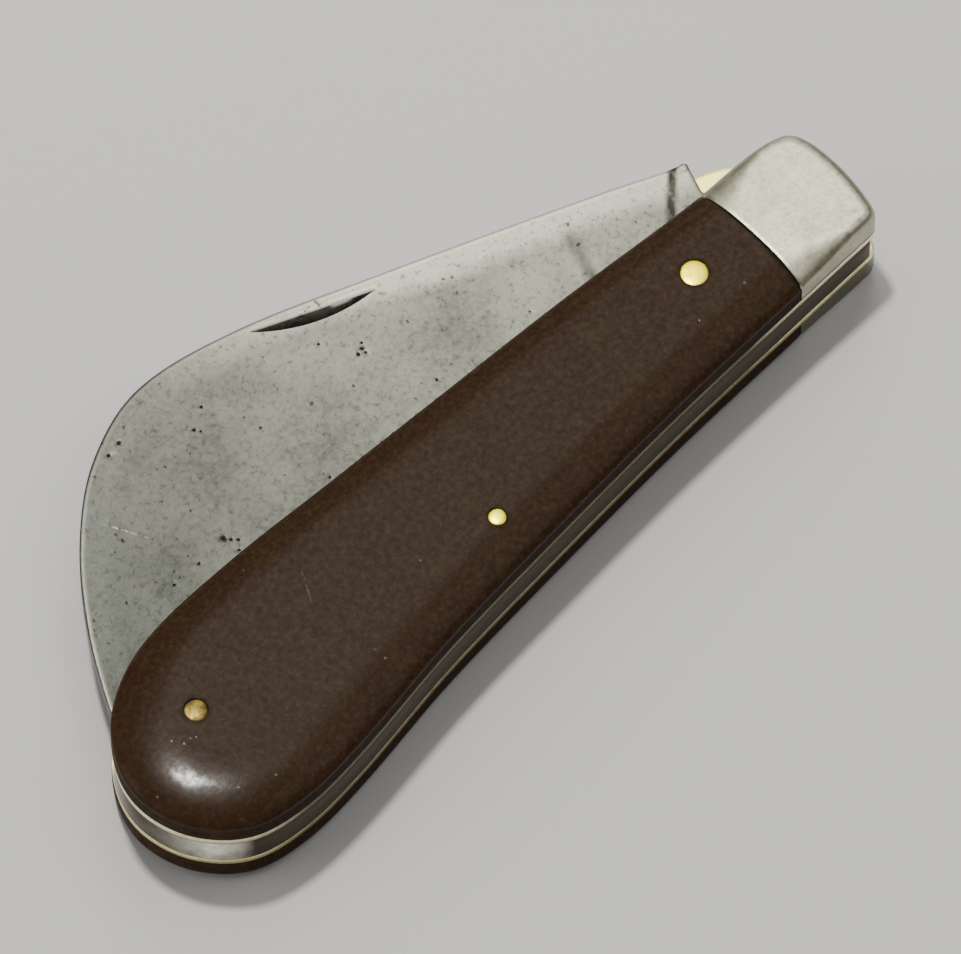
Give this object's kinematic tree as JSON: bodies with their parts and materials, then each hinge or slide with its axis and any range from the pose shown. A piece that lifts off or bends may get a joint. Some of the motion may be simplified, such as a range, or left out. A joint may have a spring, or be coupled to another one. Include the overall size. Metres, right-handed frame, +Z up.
{
  "type": "folding pruning knife",
  "caption": "Folding pocket knife with a wide curved blade, nail nick, domed dark covers, steel bolsters, brass liners and a liner lock, shown closed.",
  "frame": {"origin": "centre of the closed knife's bounding box, at the level of the bottom cover's outer face, on which it lies", "axes": "+X from the butt to the bolsters, +Y to the side where the blade opens, +Z up through the thickness"},
  "size_m": [0.1012, 0.0466, 0.0134],
  "materials": {
    "cover": "smooth dark red-brown composition, soft sheen with fine scratches",
    "bolster_steel": "satin bright steel, lightly scratched",
    "liner_brass": "brushed sheet brass, dulled along the sides",
    "pin_brass": "pale brass filed flush",
    "spring_steel": "darkened spring steel, polished at the butt",
    "blade_steel": "aged carbon steel, mottled grey with small dark pits and fine scratches"
  },
  "bodies": {
    "handle": {"top_cover": "cover", "bottom_cover": "cover", "top_bolster": "bolster_steel", "bottom_bolster": "bolster_steel", "top_liner": "liner_brass", "bottom_liner": "liner_brass", "backspring": "spring_steel", "pivot_pin": "bolster_steel", "center_pin": "pin_brass", "butt_pin": "pin_brass", "top_cover_pin": "pin_brass", "bottom_cover_pin": "pin_brass"},
    "blade": {"blade": "blade_steel"},
    "lock": {"lock_leaf": "liner_brass"}
  },
  "joints": [
    {"name": "blade_pivot", "type": "hinge", "parent": "handle", "child": "blade", "pos_m": [0.0441, -0.01002, 0.0067], "axis": [0, 0, -1], "range_deg": [0, 180], "deforming": ["backspring", "lock_leaf"]},
    {"name": "lock_leaf_flex", "type": "hinge", "parent": "handle", "child": "lock", "pos_m": [-0.002, -0.00572, 0.00435], "axis": [0, -1, 0], "range_deg": [0, 3.2], "deforming": ["lock_leaf"]}
  ],
  "couplings": [
    {"joint": "lock_leaf_flex", "follows": "blade_pivot", "ratio": 0.01777}
  ]
}
